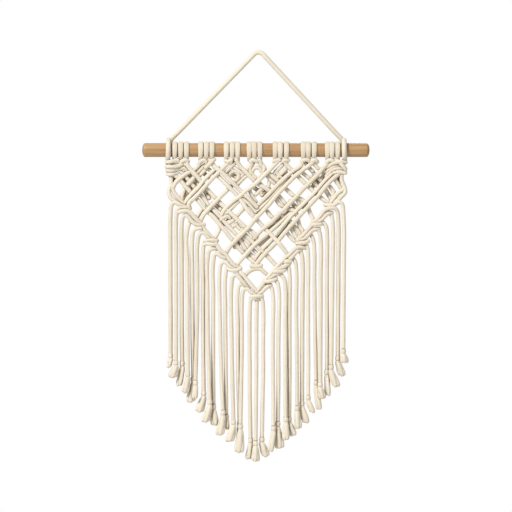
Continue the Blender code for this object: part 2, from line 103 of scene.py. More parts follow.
# Those that run down to the left
LEFT_STRANDS = (
    ((-61.1, 11, 2.5), (-64.3, 15.8, 1.5), (-68.7, 20.8, 1.2), (-72.7, 23.8, 1), (-77.6, 25.8, 1.2),
     (-81.9, 28.8, 1.5), (-86.3, 32, 1.6), (-90.1, 35.4, 1.6), (-92.7, 38.9, 1.4), (-94.5, 42.7, 1)),
    ((-50.7, 11.7, 3), (-54.3, 14.4, 2), (-58.6, 17.6, 0), (-62.9, 21.7, -0.5), (-67.1, 26.1, -0.5),
     (-70.3, 31.1, 0.2), (-73.9, 35.2, 1.2), (-77.1, 38.4, 0.4), (-80.2, 42.3, -1.6), (-82.4, 46.4, -1.2),
     (-84.2, 50.9, -0.3), (-84.9, 55.8, 0), (-83.5, 60.6, 0)),
    ((-43.1, 20.1, 0.5), (-46.7, 22.2, 1.5), (-50.7, 25.8, 2), (-54.7, 29.7, 2.5), (-59.3, 34.3, 2.5),
     (-64.1, 41.1, 2.5), (-70.7, 47.8, 2.5), (-76.4, 53.9, 2), (-81.2, 60.8, 0.5)),
    ((-27.5, 10.1, 3), (-30.3, 13.5, 2), (-34.1, 17.1, 2), (-38.7, 21.7, 3), (-43.3, 26.3, 3.2),
     (-47.9, 30.9, 3.5), (-52.4, 35.4, 3.5), (-58.1, 41.8, 3.5), (-63.2, 47.5, 3.5), (-67.7, 52.1, 3),
     (-72.3, 56.7, 2.5), (-76.9, 61.3, 1)),
    ((-3.5, 11.4, 2.5), (-6.3, 17.1, 0.6), (-9.2, 21.3, 0), (-12.7, 25.6, -0.5), (-17.2, 30.4, -1),
     (-21.6, 35, -1.5), (-25, 38.3, -1.5), (-29.6, 42.6, -1), (-33.7, 46.6, 0.5), (-38.3, 51.2, 2),
     (-42.8, 55.8, 2.5), (-47.6, 60.8, 2.5), (-52.4, 65.8, 2.2), (-57, 70.9, 2), (-60.9, 76.3, 1.2),
     (-63.4, 81.4, 0.5)),
    ((26.2, 10.9, 3), (23.2, 15.1, 2), (19.3, 19.2, 2.5), (12.1, 26.3, 3.5), (4.1, 34.3, 3.5),
     (-2.1, 40, 3), (-7.5, 43.8, 3), (-13.6, 48.6, 3), (-18.1, 52.6, 3), (-22.5, 55.8, 2.5),
     (-27.3, 59.7, 2), (-31.9, 64, 1.5), (-35.5, 67.9, 1), (-38.3, 72.2, 0), (-40.1, 77, -1),
     (-40.5, 82.9, -1.2), (-41, 88, -0.8), (-43.3, 94.2, -0.2), (-46.9, 100.6, 0.4)),
    ((53.9, 11.4, 3), (51.6, 17.4, 1.5), (47.9, 20.8, 2), (42.9, 23.8, 2), (37.4, 28.1, 2), (31.7, 33.4, 2),
     (26, 38.9, 2), (20, 45, 1.8), (14.1, 51.2, 1.5), (7.6, 57.6, 1.2), (1.1, 64, 0.5)),
    ((38, 30, 0), (29, 41, 0.5), (18, 54, 0.5), (8, 64, 0.5), (0, 71, 0)),
    ((67.3, 11, 3.5), (63.5, 15.3, 3), (59.6, 18.7, 2.5), (55, 21.9, 2.5), (50, 25.8, 3.5),
     (44.3, 30.4, 3.5), (38.5, 36.1, 3.5), (32.8, 42.1, 3.5), (27.1, 48, 3.5), (21.4, 54.6, 3.5),
     (16.8, 60.3, 3.5), (10.9, 66.7, 3.5), (5.2, 72.7, 3.5), (0, 77.9, 3.5), (-6.3, 86.2, 3.5),
     (-12.7, 92.8, 3.5), (-18.4, 98.5, 3.5), (-24.1, 104.5, 3), (-29.3, 110.2, 2), (-33.7, 117, 0.5)),
    ((83.3, 11.4, 3), (79.9, 17.6, 1.8), (74.9, 23.3, 2.5), (69.4, 29.3, 3), (63.5, 35.2, 3),
     (57.7, 41.1, 3), (52, 46.9, 2.8), (46.1, 53.5, 2.5), (39.7, 60.1, 2.5), (34, 66.1, 2.5), (28, 72, 2.5),
     (22.3, 77.9, 2.2), (16.8, 83.4, 1.8), (11, 87.8, 1.5), (3, 95, 0), (-2.9, 102.1, -1.5)),
    ((88, 26, 0.5), (79, 35, 1), (66, 50, 1), (55, 61, 0.5), (38, 78, 0.5), (26, 92, 0.5), (14, 107, 0.5),
     (7, 114, 0), (0, 123, -0.5)),
    ((96, 26, 0.5), (86, 35, 3), (70, 54, 3.5), (53, 72, 3.5), (37, 90, 3.5), (25, 104, 1.5),
     (11, 118, 2.5), (0, 131, 1.5)),
    ((40, 72, -1.5), (32, 79, -1), (23, 87, -0.5), (13, 96, 1), (0, 107, 2.5), (-13, 121, 2),
     (-24, 134, 0.5)),
    ((-11, 64, -0.5), (-18, 71, -1.5), (-25, 79, -1), (-32, 83, -1)),
    ((-18.1, 56.6, 0), (-25, 63.4, 0.5), (-29.6, 68, 0.3), (-33.6, 72, 0)),
    ((-59, 64, -0.5), (-64, 71, -1.5), (-69, 79, -0.5)),
)

# Short links between them
LINKS = (
    ((14, 29, -1), (18, 35, -1.5), (24, 41, -1)),
    ((27, 53, -2), (32, 59, -1.5), (37, 65, -1.5)),
    ((63.9, 11.2, 3), (66.9, 16.2, 1.2), (70.3, 20.1, 0.5), (74.4, 22.6, 0), (79.2, 23.8, -0.3),
     (83.6, 27.9, -0.5)),
    ((50, 23, -1.5), (57, 29, -2), (64, 35, -1.5), (70, 41, -1.5)),
    ((59, 18, -1), (65, 25, -2.5), (74, 35, -1)),
    ((47, 57, -1.5), (51, 63, -1.5), (55, 66, -1.5)),
    ((13, 70, -1), (17, 75, -2), (22, 79, -1)),
    ((27, 72, -0.5), (33, 78, -1.5), (39, 81, -1)),
    ((35, 94, -0.5), (43, 103, -1), (48, 106, 0)),
    ((-9, 28, 0), (-15, 33, -1), (-21, 39, -0.5)),
    ((-29.6, 77.7, 0), (-31.3, 75.8, 0.3), (-35.9, 76.9, 0.3), (-39.9, 80, 0)),
    ((-21.6, 84.9, -1), (-25.6, 86.9, -0.8), (-29, 88.6, -1)),
    ((-15, 91, 1), (-21, 99, 0.5), (-26, 104, 0.5)),
    ((19, 29, -1), (16, 35, -2), (14, 42, -1)),
    ((9, 42, -1), (3, 48, -1.5), (0, 51, -1.5)),
    ((-1, 38, -0.5), (-7, 45, -0.5), (-5, 51, -1), (0, 59, -1)),
    ((-22.7, 13.3, 0), (-26.1, 16.9, 1), (-29.8, 20.8, 1.5), (-33.5, 24.5, 1), (-36.7, 27.4, 0)),
    ((-30.4, 32.7, -0.5), (-30.3, 28.6, 0), (-28, 25.4, 0.3), (-24.1, 24.2, 0.5), (-20.3, 26.5, 0.3),
     (-19.6, 30.6, 0), (-21.7, 34.3, -0.3), (-24.3, 37.3, -0.8)),
    ((30.5, 17.1, 0), (26.9, 20.8, -0.5), (23.2, 24.5, -1), (20.5, 27.7, -1)),
    ((34.4, 21.9, 0), (30.5, 25.8, -0.8), (26.9, 29.5, -1), (23.9, 32.5, -1)),
    ((-55.6, 20.6, -0.5), (-60.4, 25.1, -0.5), (-64.3, 29.3, -1), (-67.5, 32.5, -1.5)),
    ((-60.4, 22.4, -0.5), (-56.5, 21, -0.3), (-52.7, 22.9, -0.3), (-50.6, 25.8, -0.5)),
    ((57, 14, 0), (59, 19, -1), (65, 24, -1)),
)

# The loop below the middle group of turns
MIDDLE_LOOP = (
    ((-3.3, 14.9, 0), (-6, 19, 0.5), (-6.8, 23.1, 0.5), (-5.1, 27, 0.5), (-1.9, 30.4, 0.3), (1.3, 33.6, 0)),
    ((3.6, 13.7, 0), (7.5, 17.1, 0.8), (9.7, 21.3, 0.8), (8.8, 25.1, 0.6), (5.6, 29, 0.4), (2, 32.9, 0.2)),
    ((-4.4, 25.8, 0), (-3.1, 22.2, 0.5), (0.6, 20.1, 0.8), (4.7, 21, 0.5), (6.5, 24.5, 0)),
)

# Wraps at the net's two edges, and the bar and arch near its point
EDGES = (
    ((-101.7, 14.2, 3), (-97.6, 13.6, 5), (-93, 13.3, 4), (-89.8, 16, 2)),
    ((-101.6, 19.1, 4), (-96.4, 19.3, 5.5), (-90.7, 19, 4.5), (-85.6, 16.9, 3), (-81, 13.7, 1)),
    ((-101.2, 23.3, 3), (-96.4, 23.4, 4), (-91.3, 22.2, 2.5), (-86.7, 21.3, 1)),
    ((-100.4, 27.4, 2), (-96.4, 27.7, 3), (-92.4, 26.5, 1.5), (-88.4, 24.6, 0.5)),
    ((-97.7, 28, 0), (-96.8, 33.1, 0.3), (-97, 38.4, 0.3), (-98.1, 43.4, 0)),
    ((-95.6, 38.6, 0.4), (-95.5, 43.2, 0.7), (-93.8, 47.8, 1), (-90.8, 52.2, 1.2), (-86.6, 57, 1),
     (-81.7, 61.7, 0.5)),
    ((-97.5, 40.6, 0.5), (-99.2, 45.1, 1), (-99.3, 49.6, 1.5), (-97, 54.4, 1.5), (-92.7, 58.5, 1),
     (-87.6, 62.1, 0.5), (-82.1, 64.5, 0)),
    ((100, 17.5, 0.5), (91, 18, 1.5), (82, 24, 0.5)),
    ((101, 21, 1), (94, 21, 1.5), (87, 23, 1.5), (81, 30, 0)),
    ((102, 26, 1.5), (95, 25, 2), (88, 26, 1)),
    ((98, 25, 0), (98, 34, -0.5), (101, 42, 0)),
    ((89.3, 31.4, 0), (92, 36, -0.6), (95.1, 40.6, -1), (98.2, 44.9, -0.8)),
    ((99, 39, 0.5), (101, 43, 0.5), (94, 49, 1), (85, 61, 0.5)),
    ((101, 42, 0.5), (102, 48, 1.5), (97, 54, 1.5), (89, 61, 1)),
    ((85, 42, -1), (89, 49, -1.5), (87, 57, -1)),
    ((-5, 132, 2), (0.1, 133.1, 2.5), (5.9, 132, 2)),
    ((-15, 147, 0), (-8, 139, 1), (-2, 136, 1.5), (5, 136, 1.5), (10, 140, 1), (16, 146, 0)),
    ((-90.7, 22.9, 0.5), (-86.1, 20.9, 1.5), (-82.1, 20.8, 1.5), (-79.3, 23.4, 0.5)),
    ((-86.7, 15.4, 1), (-82.1, 14.9, 2), (-78.4, 17.4, 2.5), (-75.9, 21.1, 1.5)),
    ((102.4, 14.1, 3), (97.3, 13.5, 4.5), (91.6, 14.2, 4), (85.9, 16.5, 2.5), (81.3, 19.4, 1)),
)

# More short links
LATER_LINKS = (
    ((-25.9, 19.2, 0), (-22.3, 21.9, 0.3), (-18.4, 24.7, 0), (-14.9, 27.4, -0.5)),
    ((-10.1, 28.3, -1), (-14.7, 32.7, -0.8), (-19.1, 37.5, -1), (-22.3, 41.1, -1.5)),
    ((12.5, 28.8, -1), (16.4, 33.8, -1), (20.5, 37.5, -1.2), (24.6, 41.6, -1.5)),
    ((22.5, 24.7, -1.5), (26.4, 29, -1), (30.5, 33.4, -1.2)),
    ((-25.6, 80.3, -0.5), (-29, 82.6, -0.3), (-33, 84.6, -0.5)),
    ((13.3, 70.9, -0.5), (15.6, 74.3, -0.3), (19, 77.1, -0.5)),
    ((-6.1, 92, -0.5), (-2.1, 94.9, 0), (1.3, 98.3, -0.5)),
    ((18.4, 102.9, -0.5), (14.4, 106.9, -0.3), (11, 110.9, -0.5)),
    ((37.9, 85.7, -1.5), (41.3, 91.4, -1.5), (44.7, 97.1, -1), (48.7, 102.9, -0.5)),
    ((40.1, 82.3, -1.5), (44.7, 88, -1.2), (48.7, 93.1, -0.8), (52.1, 98.3, 0)),
    ((-15.9, 98.3, -1.5), (-10.7, 103.4, -1), (-6.7, 108, -1)),
    ((-7.3, 109.7, -1.5), (-2.7, 114.3, -1.2), (1.9, 118.9, -1)),
)

# Wraps that gather the turns under the dowel
GATHERS = (
    ((-95.9, 15.4, 2), (-93.6, 12.6, 3.5), (-89.9, 11.7, 3.8), (-87.9, 14.6, 2.5)),
    ((-87.3, 16.6, 2), (-84.4, 12.9, 3.8), (-80.4, 11.4, 4), (-77.6, 13.1, 2.5)),
    ((-65, 16, 2), (-62.5, 12.6, 3.6), (-58.7, 11.8, 3.8), (-56.1, 14.9, 2.5)),
    ((-47.9, 11, 3), (-50.7, 13.7, 4.2), (-54.1, 17.1, 4), (-57, 20, 2.5)),
    ((-34.7, 12, 2), (-31.9, 13.1, 3.2), (-28.4, 12, 3.4)),
    ((-6, 13.1, 2), (-4.4, 11.4, 3.2), (-1.5, 11.8, 3.2), (1.3, 13.1, 2.5)),
    ((20.7, 13.1, 2), (23, 11.4, 3), (27, 11.7, 3)),
    ((36.7, 12, 2.2), (33.9, 11.4, 3.2), (31, 13.1, 3)),
    ((52.7, 13.1, 2.5), (55.7, 11.2, 3.6), (59.6, 11.4, 3.8), (62.1, 14.2, 2.6)),
    ((62.8, 15.4, 2.6), (64.7, 12.1, 3.8), (68.1, 11.7, 3.6), (69.9, 13.7, 2)),
    ((81.3, 13.7, 3), (83.6, 11.7, 3.8), (87, 11.9, 3.8), (89.3, 14.4, 2.6)),
    ((91.6, 11.4, 3), (95.6, 14.3, 4.2), (99.6, 18.3, 4.4), (102.1, 21.7, 3)),
)

# Cords set behind the net's gaps as painted shade, to darken the gaps: (x, drop) of one end, the middle and
# the other end
BACK_SHADE_CORDS = (
    ((-98.1, 27.4), (-94.4, 32), (-90.7, 36.6)),
    ((-85.6, 31.4), (-81.6, 35.4), (-77.6, 39.4)),
    ((-79.3, 25.1), (-75.6, 29.4), (-71.9, 33.7)),
    ((-72.4, 33.1), (-68.4, 37.1), (-64.4, 41.1)),
    ((-83.3, 56.6), (-79.9, 51.4), (-76.4, 46.3)),
    ((-77.6, 41.1), (-73.6, 45.1), (-69.6, 49.1)),
    ((-62.1, 24), (-58.4, 27.4), (-54.7, 30.9)),
    ((-60.4, 44), (-57, 49.4), (-53.6, 54.9)),
    ((-30.7, 25.1), (-25.6, 28.9), (-20.4, 32.6)),
    ((-4.4, 41.1), (0.7, 45.1), (5.9, 49.1)),
    ((7, 51.4), (11, 47.7), (15, 44)),
    ((1.3, 35.4), (5.3, 39.4), (9.3, 43.4)),
    ((28.1, 35.4), (31, 30.3), (33.9, 25.1)),
    ((63, 44.6), (65.3, 41.1), (67.6, 37.7)),
    ((64.1, 30.9), (69.3, 35.4), (74.4, 40)),
    ((74.4, 34.3), (77, 29.1), (79.6, 24)),
    ((79, 44.6), (82.4, 50.3), (85.9, 56)),
    ((89.9, 28), (94.1, 32.9), (98.4, 37.7)),
    ((-53.6, 66.3), (-49.6, 72), (-45.6, 77.7)),
    ((-45.6, 77.1), (-42.7, 80.3), (-39.9, 83.4)),
    ((-35.3, 84.6), (-30.7, 80), (-26.1, 75.4)),
    ((-23.9, 110.9), (-18.7, 105.7), (-13.6, 100.6)),
    ((13.3, 92.6), (17.6, 88), (21.9, 83.4)),
    ((23, 83.4), (26.7, 79.7), (30.4, 76)),
    ((31, 76.6), (36.1, 72), (41.3, 67.4)),
    ((24.1, 102.9), (31.6, 93.7), (39, 84.6)),
    ((3.6, 108.6), (9.9, 102.9), (16.1, 97.1)),
    ((39, 58.3), (43, 62.3), (47, 66.3)),
    ((-49, 60.6), (-44.4, 64.3), (-39.9, 68)),
)

# The cords and wraps of the V-shaped border, and the wrap at its point
BORDER = (
    ((-90.4, 72, 0.5), (-87.3, 70.5, 3), (-82.1, 69.7, 4), (-77.6, 69.9, 4), (-73.9, 72.3, 3.5),
     (-70.3, 76.8, 3), (-66.6, 80.9, 2.5), (-63.2, 83.9, 2), (-59.5, 85.3, 1.5)),
    ((-61.1, 87.3, 2), (-59.3, 90.3, 2.5), (-55.9, 94.2, 2.5), (-52.2, 98.3, 2), (-48.5, 101.5, 1.5)),
    ((-57.2, 103.8, 1.5), (-53.6, 102.9, 3.2), (-49, 103.3, 3.6), (-45.1, 103.8, 2.5)),
    ((-58.7, 107.7, 1), (-54.9, 107, 3), (-50.1, 107.7, 3.8), (-45.6, 108.1, 3.2)),
    ((-47.2, 104.7, 2.5), (-44.2, 109.7, 3), (-40.8, 114.1, 3), (-37.1, 117.5, 2.5), (-33.7, 120.2, 2)),
    ((-33.9, 120.7, 2), (-31.4, 123.9, 2.6), (-28.4, 127.8, 2.6), (-25.2, 131.7, 2.4), (-22, 133.7, 1.8),
     (-18.6, 134.2, 1)),
    ((-32.4, 133.7, 1), (-29.6, 136.5, 3), (-25.5, 137.5, 3.8), (-21, 137, 3.4), (-17.7, 135.2, 2)),
    ((-19.9, 137.4, 1.5), (-16.8, 140.6, 2.6), (-13.2, 144.7, 2.8), (-9.2, 149.5, 2.8), (-5.1, 154.6, 2.8),
     (-1.2, 159.1, 2.6), (2, 162.1, 2)),
    ((-67.3, 52.8, 1), (-72.1, 56.2, 2.5), (-75.6, 59.7, 3), (-76.9, 63.4, 2.8), (-76.2, 67.4, 2)),
    ((79, 62.4, 2), (83.6, 63.3, 3), (88.7, 62.9, 3), (92.7, 60.8, 2)),
    ((86.4, 71.8, 1), (83.1, 72.1, 2.2), (79.9, 74.5, 2.6), (76.3, 78.4, 2.6), (72.1, 81.1, 2.4),
     (67.6, 82.5, 1.8)),
    ((63.3, 85.9, 2), (66.4, 85.1, 4), (70.4, 85, 4), (74, 84.9, 3)),
    ((63.7, 86.4, 2), (60.7, 89.6, 2.6), (57.3, 93.5, 2.6), (54.1, 97.3, 2.4), (50.4, 100.3, 2),
     (47.6, 102.9, 1)),
    ((72.1, 90.3, 1.5), (68.1, 90.5, 2.6), (64.1, 92.5, 2.8), (60.5, 96.2, 2.8), (56.8, 99.9, 2.6),
     (52.7, 102.2, 2.2), (48.1, 103.3, 1.5)),
    ((47, 106.7, 2.5), (51.6, 106.4, 4), (56.1, 105.9, 3.8), (59.6, 104.2, 2.5)),
    ((55.6, 111.8, 1.5), (52.1, 110.9, 3), (48.1, 111.1, 3.4), (45.2, 112.7, 3), (42, 115.7, 2.8),
     (38.8, 119, 2.5), (35.3, 122.1, 2), (32.1, 123.4, 1.2)),
    ((51.6, 114.1, 1), (48.1, 115, 2.4), (44.7, 118.2, 2.6), (41.3, 122.1, 2.6), (38.4, 125.7, 2.6),
     (36.7, 128.6, 2)),
    ((34.4, 122.3, 2), (31.2, 125.7, 2.6), (27.8, 129.1, 2.6), (24.4, 132.8, 2.6), (21.2, 136.5, 2.6),
     (18, 140.2, 2.6), (14.5, 144.2, 2.4), (11.1, 147.9, 2)),
    ((32.7, 128.5, 2), (36, 126.9, 3.8), (39.2, 127.5, 3)),
    ((38.4, 129.6, 1.5), (35, 131.2, 2.6), (31.2, 133.9, 3), (27.3, 135.2, 3), (23.6, 136.3, 2.6),
     (19.8, 139, 2)),
    ((19, 140.1, 2), (22.4, 138.7, 3.8), (26.4, 138.7, 3.8), (30.4, 138.2, 3), (33.3, 136.5, 1.5)),
    ((28.1, 141, 1), (24.1, 141.5, 2.6), (20.5, 143.1, 3), (17.1, 145.6, 3), (13.9, 147.9, 2.4)),
    ((9.5, 149.9, 2), (12.7, 150.2, 3.8), (16.7, 149.7, 3.8), (20.7, 148.3, 2.8), (23, 146.7, 1.5)),
    ((11.3, 148.2, 2.2), (8.8, 152, 2.6), (5.9, 156, 2.6), (2.7, 160, 2.4), (0.5, 162.5, 2)),
    ((16.7, 154.5, 1), (13.6, 155.8, 2.2), (10.2, 158.6, 2.6), (6.8, 162.1, 2.4), (3, 164.3, 2)),
    ((-5.8, 168.7, 1), (-3.7, 167.3, 3), (0.1, 167.1, 4), (4.3, 167.1, 3.4), (7, 167.1, 2)),
)

# The fringe, strand by strand from the left: x at the top, x and drop of the tie, x and drop of the end,
# half width of the loose end, and the lobes it parts into
LEFT_FRINGE = (
    (-97.6, -97.6, 235, -99.3, 251, 2.9, 2),
    (-91.1, -91.4, 243, -94.8, 261.5, 4.8, 3),
    (-84.8, -84.2, 244, -87.6, 272, 3.4, 2),
    (-78.5, -77.8, 256, -80.5, 279, 4.2, 3),
    (-72.7, -71.5, 262, -74.4, 290, 4.8, 3),
    (-66.5, -69, 266, -69.6, 286, 3.2, 2),
    (-60.5, -59.6, 278, -64.6, 301, 4.6, 3),
    (-55.6, -52.7, 288, -57.5, 313, 4.4, 3),
    (-48.8, -48.4, 293, -47.4, 317, 4.2, 2),
    (-41.6, -37.7, 300, -41, 327, 4.6, 3),
    (-35, -33.8, 305, -34.1, 321, 3.4, 2),
    (-28.2, -25.6, 311, -29.8, 335, 5, 3),
    (-21.2, -18.6, 313, -19.5, 338, 3, 2),
    (-16, -17.5, 316, -19.2, 347, 5, 3),
)
TIP_FRINGE = (
    (-7.5, -6, 332, -7.3, 355, 4.2, 3),
    (0.5, -0.3, 335, -0.3, 357, 4.3, 3),
    (8.5, 6.9, 331, 11, 352, 4.6, 3),
)
RIGHT_FRINGE = (
    (19.2, 19.9, 318, 16.8, 347, 3.2, 2),
    (26.2, 25.1, 313, 27, 343, 5, 3),
    (33.6, 34, 308, 34.4, 333, 3.8, 2),
    (38.5, 38.1, 308, 42.4, 329, 4, 2),
    (46.2, 47, 295, 48.1, 320, 4, 3),
    (53.2, 52.7, 290, 57, 314, 4, 2),
    (59.8, 59.7, 283, 64, 302, 3.4, 2),
    (66.6, 69, 266, 71.9, 299, 3.2, 2),
    (74, 73.6, 268, 76.1, 286, 4, 3),
    (81.2, 81.3, 254, 82.2, 283, 3.2, 2),
    (87.8, 86, 248, 91.3, 272, 4.6, 3),
    (94.3, 93.8, 238, 98.2, 260, 4.2, 3),
    (100.6, 99.9, 230, 101.3, 245, 4.2, 3),
)

# The root of each fringe strand, from inside the border to where it hangs straight: (x, drop, rise)
LEFT_ROOTS = (
    ((-75.9, 64.9, 1), (-81, 64.9, 2), (-85.6, 63.5, 2.5), (-89.5, 60.8, 2.5), (-92.9, 59.7, 2),
     (-95.6, 61.7, 1.5), (-97, 66.3, 1), (-97.5, 73.1, 0.7)),
    ((-75.3, 66.5, 1.5), (-79.9, 66.1, 2.5), (-84.4, 65.4, 3), (-87.9, 66.2, 2.8), (-89.9, 69.3, 2),
     (-90.7, 74.3, 1), (-91.1, 80, 0.7)),
    ((-59.9, 85.9, 1.5), (-64.4, 85.9, 3), (-69.6, 84.3, 3), (-73.6, 80.9, 3), (-76.9, 76.6, 3),
     (-80, 74.5, 2.8), (-82.6, 75.7, 2), (-84.1, 79.4, 1.2), (-84.7, 85.7, 0.7)),
    ((-72.4, 79.4, 0), (-75.3, 82.3, 0.3), (-77.2, 86.3, 0.5), (-78.4, 91.4, 0.6)),
    ((-59.3, 89.5, 1.5), (-63.3, 89.4, 3.5), (-67.5, 89.7, 3.5), (-70.4, 91.2, 2.8), (-72, 94.6, 1.8),
     (-72.7, 100.6, 0.8)),
    ((-44.4, 103.5, 1), (-49, 103.3, 2.2), (-53, 101.6, 2.8), (-56.4, 97.8, 2.8), (-59.7, 94.5, 2.8),
     (-62.7, 94.7, 2.2), (-64.9, 97.6, 1.5), (-66.1, 102.9, 0.8)),
    ((-54.1, 103.5, 0.3), (-57.5, 104.7, 0.8), (-59.5, 107.8, 0.8), (-60.3, 114.3, 0.6)),
    ((-44.4, 112.9, 1), (-48.4, 112.7, 2.8), (-51.7, 113.4, 3), (-53.9, 116.1, 2), (-54.9, 121.7, 1)),
    ((-31.5, 123.7, 1), (-35.5, 123, 2.8), (-39.5, 121.8, 3), (-42.9, 119.5, 3), (-45.6, 118.4, 2.5),
     (-47.5, 120.7, 1.6), (-48.4, 126.3, 0.8)),
    ((-22.1, 135.9, 1.5), (-26.7, 135.3, 3), (-30.3, 132.6, 3), (-33.2, 129.4, 3), (-36.7, 128, 2.6),
     (-39.3, 129.5, 2), (-40.8, 133.7, 1.2), (-41.5, 140.6, 0.8)),
    ((-30.1, 131.4, 0), (-32.4, 133.7, 0.3), (-33.9, 137.1, 0.5), (-34.7, 142.9, 0.5)),
    ((-8.4, 156, 0.5), (-11.3, 154.3, 2), (-13.8, 151.8, 2.8), (-17.2, 147.8, 3), (-20.9, 143.9, 3),
     (-23.9, 142.6, 2.8), (-26.1, 144.7, 2), (-27.3, 149.1, 1.2), (-28, 155.4, 0.8)),
    ((-8.2, 157.4, 1.1), (-14.1, 153.8, 1.2), (-17, 153.1, 1.5), (-19.3, 155, 1.2), (-20.4, 158.9, 0.9),
     (-21, 164.6, 0.6)),
    ((0.7, 165.7, 1.5), (-3.1, 164.1, 2.5), (-6.7, 161.6, 2.5), (-9.7, 158.7, 2.2), (-12.2, 158.4, 1.6),
     (-14.3, 160.6, 0.8), (-15.4, 165.1, 0.2), (-15.9, 171.4, -0.3)),
)
TIP_ROOTS = (
    ((4.7, 170.5, 0.5), (0.7, 170.1, 2), (-2.8, 168.9, 2.6), (-5.1, 170.1, 2), (-6.4, 173.4, 1.2),
     (-6.8, 179.4, 0.8)),
    ((0.7, 167.8, 0.6), (0.9, 174.9, 0.4), (0.8, 181.7, 0.6)),
    ((-1, 168.9, 1), (3, 168, 2), (5.9, 168.9, 2), (7.5, 172.2, 1.4), (8.1, 178.3, 0.8)),
)
RIGHT_ROOTS = (
    ((12.7, 154.1, 0), (16.1, 154.6, 0.4), (18.2, 157.7, 0.6), (19.1, 163.4, 0.6)),
    ((19, 148, 0.3), (22.3, 148.6, 0.7), (24.5, 151.5, 0.7), (25.7, 156.6, 0.6), (26.4, 163.4, 0.5)),
    ((24.1, 140.8, 0.3), (28.1, 142.2, 0.8), (31, 145.1, 0.8), (32.9, 149.7, 0.7), (33.7, 157.7, 0.5)),
    ((32.7, 130.3, 0), (35.6, 131.4, 0.4), (37.5, 134.3, 0.6), (38.3, 140.6, 0.6)),
    ((41.9, 122.9, 0), (44, 125.5, 0.4), (45.4, 129.1, 0.6), (46.1, 136, 0.6)),
    ((48.7, 114.5, 0), (51, 116.6, 0.3), (52.5, 120.6, 0.5), (53.2, 128, 0.5)),
    ((53.3, 106.5, 0.8), (56.7, 107.7, 1.4), (58.7, 110.9, 1.2), (59.5, 116.6, 0.9), (59.8, 123.4, 0.7)),
    ((61.9, 96, 0), (64.1, 98.9, 0.4), (65.7, 103.4, 0.6), (66.5, 110.9, 0.6)),
    ((67, 90.6, 2), (70.2, 91, 1.8), (72.4, 93.5, 1.3), (73.4, 98.3, 0.9), (74, 105.1, 0.7)),
    ((74.4, 81.8, 0.5), (77.6, 83.4, 0.9), (79.8, 86.6, 1), (80.9, 91.4, 0.9), (81.3, 98.3, 0.7)),
    ((84.1, 71.4, 0), (86.2, 74.3, 0.4), (87.2, 78.9, 0.6), (87.8, 85.7, 0.6)),
    ((64.5, 83.2, 1), (67.9, 80.9, 2.2), (71.6, 77.3, 2.6), (75, 73.4, 2.8), (78.5, 69.1, 3.2),
     (82, 67, 3.6), (86.4, 66.2, 4), (90.4, 66.7, 3.4), (92.7, 69.5, 2.2), (93.9, 74.9, 1.2),
     (94.3, 82.3, 0.8)),
    ((85.9, 63.1, 1), (90.4, 61.3, 1.8), (94.5, 59.2, 2.2), (97.5, 60.3, 2), (99.3, 64.6, 1.5),
     (100.1, 72, 1), (100.6, 82.3, 0.7)),
)

# The hanger cord's turn round the dowel at each side: degrees from the top towards the viewer, and x
LEFT_LOOP = ((-30, -99.6), (0, -99.8), (90, -100), (180, -100.6), (276, -101.2))
RIGHT_LOOP = ((-30, 100.6), (0, 100.8), (90, 101), (180, 101.6), (276, 102.2))


# Shared shapes

TINY = 1e-9
FEWEST_SPANS = 3
WAVE_STARTS = (0, 6)


def place(x, drop, rise):
    """A point of the net, in millimetres from the nail."""
    return np.array((NET_X + x, NET_Y - rise, -HANG_DROP - drop), dtype=float)


def unit(vectors):
    """The vectors, scaled to a length of one."""
    return vectors / np.maximum(np.linalg.norm(vectors, axis=-1, keepdims=True), TINY)


def span_lengths(points):
    """The length of each span between one point and the next."""
    return np.linalg.norm(np.diff(points, axis=0), axis=1)


def distances_along(points):
    """How far along the line each point lies."""
    return np.concatenate(([0.0], np.cumsum(span_lengths(points))))


def smooth_path(points, step):
    """Points evenly spaced on a smooth curve through the given ones, with the distance run at each."""
    points = np.array(points, dtype=float)
    lengths = span_lengths(points)
    knots = distances_along(points)
    ways = np.diff(points, axis=0) / lengths[:, None]
    before, after = lengths[:-1, None], lengths[1:, None]
    inner = (ways[:-1] * after + ways[1:] * before) / (after + before)
    tangents = np.vstack((ways[:1], inner, ways[-1:]))
    count = max(int(round(knots[-1] / step)), FEWEST_SPANS)
    distances = np.linspace(0, knots[-1], count + 1)
    index = np.clip(np.searchsorted(knots, distances, side="right") - 1, 0, len(points) - 2)
    span = lengths[index][:, None]
    t = ((distances - knots[index]) / lengths[index])[:, None]
    path = ((2 * t**3 - 3 * t**2 + 1) * points[index] + (t**3 - 2 * t**2 + t) * span * tangents[index]
            + (3 * t**2 - 2 * t**3) * points[index + 1] + (t**3 - t**2) * span * tangents[index + 1])
    return path, distances


def swelling(distances, amount, run):
    """How a cord's thickness swells along its run: about 1, by a wave that starts at random."""
    return 1 + amount * np.sin(distances / run + chance.uniform(*WAVE_STARTS))


